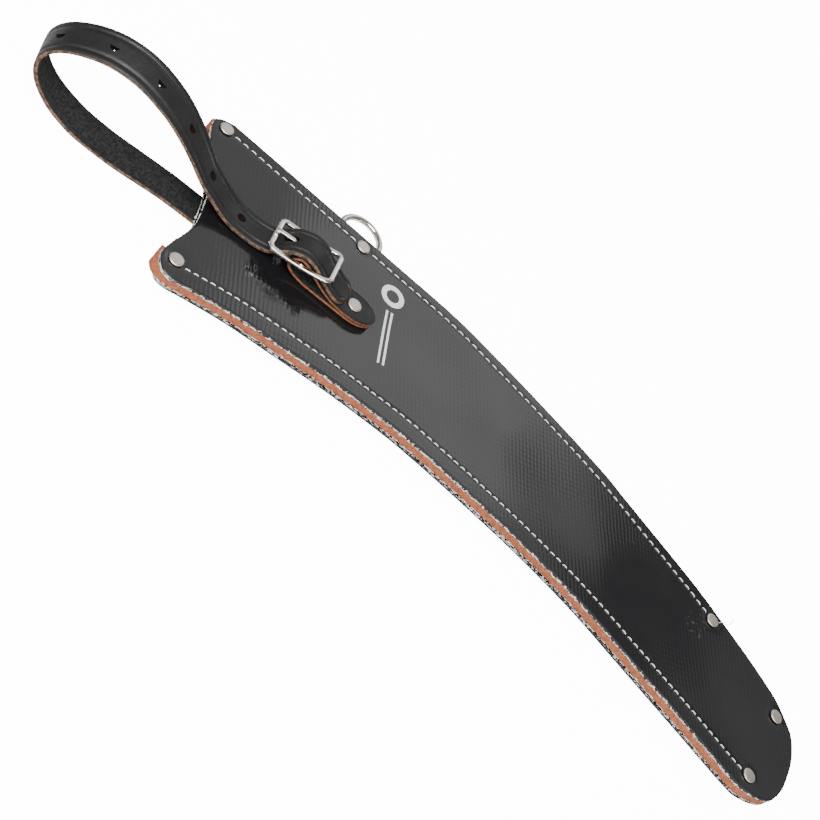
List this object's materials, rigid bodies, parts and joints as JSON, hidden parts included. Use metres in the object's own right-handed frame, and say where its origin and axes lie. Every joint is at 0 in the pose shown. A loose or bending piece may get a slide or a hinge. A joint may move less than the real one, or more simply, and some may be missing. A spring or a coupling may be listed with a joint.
{
  "type": "pruning saw scabbard",
  "caption": "Curved sheath for a pruning saw: two belting plies on leather welts, riveted and stitched, with a buckled leather belt loop and a D-ring.",
  "frame": {"origin": "on the flat outer face of the back ply, at mid length, straight below the middle of the blade space", "axes": "+Y along the scabbard to its mouth, +Z out of the front ply, +X to the convex edge"},
  "size_m": [0.1694, 0.5488, 0.0565],
  "materials": {
    "belting": "black rubber-faced belting, satin, faint woven imprint",
    "welt_leather": "sanded raw orange-brown cut edge",
    "black_leather": "black satin grain with raw brown edges",
    "nickel": "nickel plate, soft polish",
    "thread": "waxed off-white cord"
  },
  "bodies": {
    "scabbard": {"front_ply": "belting", "back_ply": "belting", "concave_side_welt": "welt_leather", "convex_side_welt": "welt_leather", "d_ring_tab": "black_leather", "mouth_concave_rivet": "nickel", "mouth_concave_washer": "nickel", "toe_concave_rivet": "nickel", "toe_concave_washer": "nickel", "mouth_convex_rivet": "nickel", "mouth_convex_washer": "nickel", "ring_rivet": "nickel", "ring_washer": "nickel", "seam_end_rivet": "nickel", "seam_end_washer": "nickel", "toe_convex_rivet": "nickel", "toe_convex_washer": "nickel", "chape_rivet": "nickel", "chape_washer": "nickel", "strap_rivet": "nickel", "strap_washer": "nickel", "concave_seam_front_thread": "thread", "concave_seam_back_thread": "thread", "upper_convex_seam_front_thread": "thread", "upper_convex_seam_back_thread": "thread", "lower_convex_seam_front_thread": "thread", "lower_convex_seam_back_thread": "thread"},
    "belt_loop": {"belt_strap": "black_leather", "buckle_chape": "black_leather"},
    "buckle": {"buckle_frame": "nickel"},
    "prong": {"buckle_prong": "nickel"},
    "ring": {"d_ring": "nickel"}
  },
  "joints": [
    {"name": "ring_swing", "type": "hinge", "parent": "scabbard", "child": "ring", "pos_m": [0.05925, 0.12692, -0.0024], "axis": [0, 1, 0], "range_deg": [-90, 150]},
    {"name": "belt_loop_swivel", "type": "hinge", "parent": "scabbard", "child": "belt_loop", "pos_m": [0, 0.11282, 0.0096], "axis": [0, 0, 1], "range_deg": [-12, 12]},
    {"name": "buckle_rock", "type": "hinge", "parent": "belt_loop", "child": "buckle", "pos_m": [-0.0026, 0.15003, 0.0214], "axis": [0.9976, 0.0698, 0], "range_deg": [-3, 1]},
    {"name": "prong_lift", "type": "hinge", "parent": "buckle", "child": "prong", "pos_m": [-0.0026, 0.15003, 0.0214], "axis": [0.9976, 0.0698, 0], "range_deg": [0, 1]}
  ]
}
